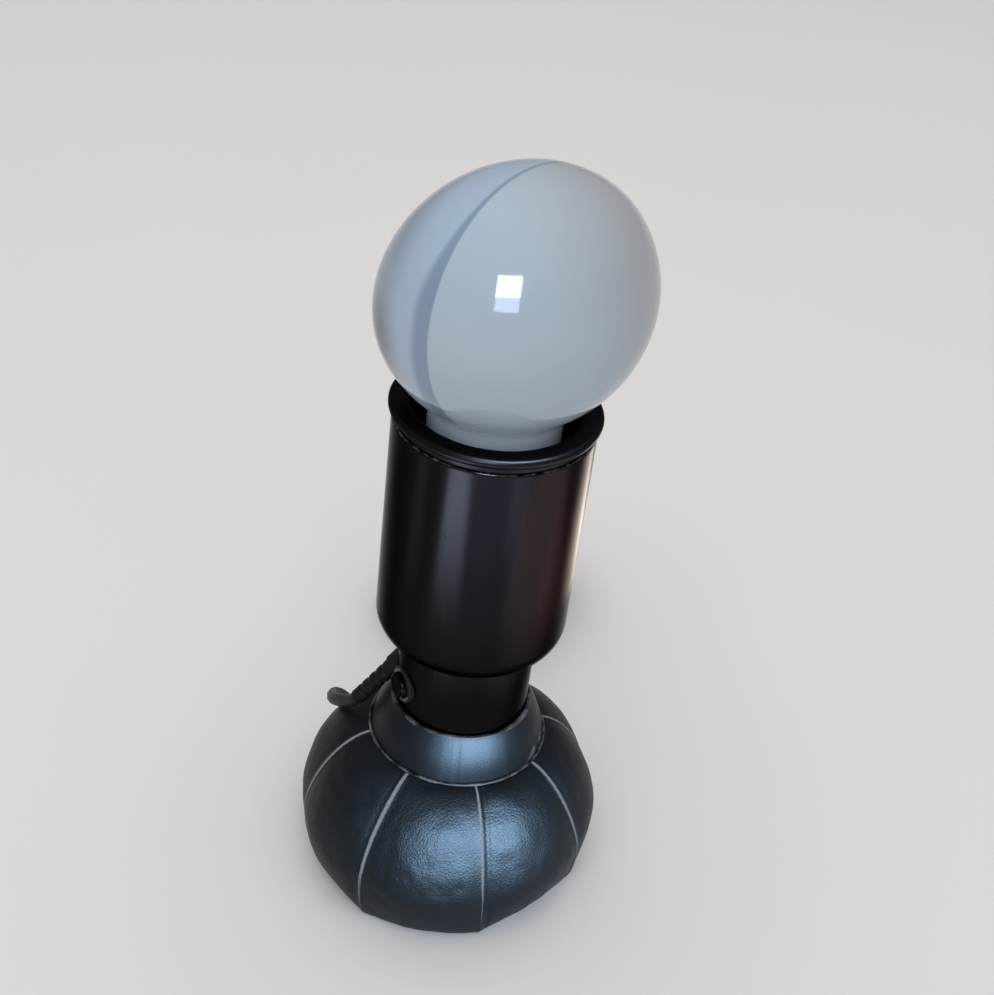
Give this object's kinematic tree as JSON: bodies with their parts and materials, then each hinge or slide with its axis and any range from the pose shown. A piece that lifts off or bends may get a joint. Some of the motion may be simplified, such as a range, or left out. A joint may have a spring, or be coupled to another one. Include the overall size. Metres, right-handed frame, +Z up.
{
  "type": "table lamp",
  "caption": "Small table lamp: a lacquered cup with a large globe bulb, whose neck leans in a sewn leather bag of lead shot, with a push switch and a coiled mains cord.",
  "frame": {"origin": "centre of the bag's flat bottom, on the table", "axes": "+Z up, -Y towards the viewer of the picture, +X to the right"},
  "size_m": [0.1011, 0.2182, 0.2515],
  "materials": {
    "bag_leather": "grained black leather, worn along the seams",
    "collar_leather": "smooth black leather",
    "seam_edge": "worn leather edge",
    "lead_shot": "packed lead shot, taken as one solid",
    "black_lacquer": "spun aluminium, black gloss lacquer",
    "ring_lacquer": "turned aluminium, black satin lacquer",
    "mill_aluminium": "bare aluminium",
    "zinc_steel": "zinc plated steel",
    "phenolic": "moulded phenolic",
    "black_glass": "black vitreous insulator",
    "porcelain": "unglazed porcelain",
    "brass": "drawn brass",
    "solder": "solder",
    "pin_brass": "nickel plated brass",
    "opal_glass": "blown glass, opal coated bowl and frosted window",
    "clear_glass": "clear glass",
    "lead_wire": "drawn wire",
    "button_plastic": "moulded black plastic",
    "cord_rubber": "black rubber",
    "cord_pvc": "black sheathed mains cord",
    "tie_plastic": "rubber strap",
    "plug_plastic": "moulded black plug",
    "brown_lead": "insulated lead",
    "blue_lead": "insulated lead"
  },
  "bodies": {
    "base": {"bag_panel_1": "bag_leather", "bag_panel_2": "bag_leather", "bag_panel_3": "bag_leather", "bag_panel_4": "bag_leather", "bag_panel_5": "bag_leather", "bag_panel_6": "bag_leather", "bag_panel_7": "bag_leather", "bag_panel_8": "bag_leather", "base_disc": "bag_leather", "shot_fill": "lead_shot", "cord_lead": "cord_pvc", "cord_coil": "cord_pvc", "cord_tail": "cord_pvc", "cord_tie": "tie_plastic", "plug_body": "plug_plastic", "plug_pins": "pin_brass"},
    "shot": {"shot_ball": "lead_shot"},
    "stem": {"mouth_welt": "seam_edge", "collar": "collar_leather", "foot_flange": "mill_aluminium", "flange_screws": "zinc_steel", "neck_tube": "black_lacquer", "neck_bridge": "mill_aluminium", "cup": "black_lacquer", "top_ring": "ring_lacquer", "nipple": "zinc_steel", "nipple_nut": "zinc_steel", "nipple_washer": "zinc_steel", "holder_base": "phenolic", "holder_shell": "phenolic", "holder_core": "porcelain", "screw_shell": "brass", "centre_contact": "brass", "terminal_screws": "zinc_steel", "switch_body": "phenolic", "switch_bezel": "black_lacquer", "switch_spring": "zinc_steel", "cord_gland": "cord_rubber", "strain_relief": "cord_rubber", "lead_live": "brown_lead", "lead_neutral": "blue_lead", "lead_switched": "brown_lead"},
    "button": {"switch_button": "button_plastic"},
    "bulb": {"bulb_glass": "opal_glass", "bulb_cap": "brass", "cap_insulator": "black_glass", "cap_contact": "solder", "bulb_mount": "clear_glass", "bulb_leads": "lead_wire", "filament": "lead_wire"}
  },
  "joints": [
    {"name": "lean_side", "type": "hinge", "parent": "base", "child": "shot", "pos_m": [0, 0, 0.014], "axis": [0, 1, 0], "range_deg": [-15, 9], "deforming": ["bag_panel_1", "bag_panel_2", "bag_panel_3", "bag_panel_4", "bag_panel_5", "bag_panel_6", "bag_panel_7", "bag_panel_8", "cord_lead"]},
    {"name": "lean_front", "type": "hinge", "parent": "shot", "child": "stem", "pos_m": [0, 0, 0.014], "axis": [1, 0, 0], "range_deg": [-12, 12], "deforming": ["bag_panel_1", "bag_panel_2", "bag_panel_3", "bag_panel_4", "bag_panel_5", "bag_panel_6", "bag_panel_7", "bag_panel_8", "cord_lead"]},
    {"name": "button_press", "type": "slide", "parent": "stem", "child": "button", "axis": [0.8648, 0.5, -0.0453], "range_m": [0, 0.0015], "stiffness_N_per_m": 600, "springref_m": -0.002, "deforming": ["switch_spring"]},
    {"name": "bulb_turn", "type": "hinge", "parent": "stem", "child": "bulb", "pos_m": [0.00712, 0, 0.14981], "axis": [0.0523, 0, 0.9986], "range_deg": [0, 360]}
  ]
}
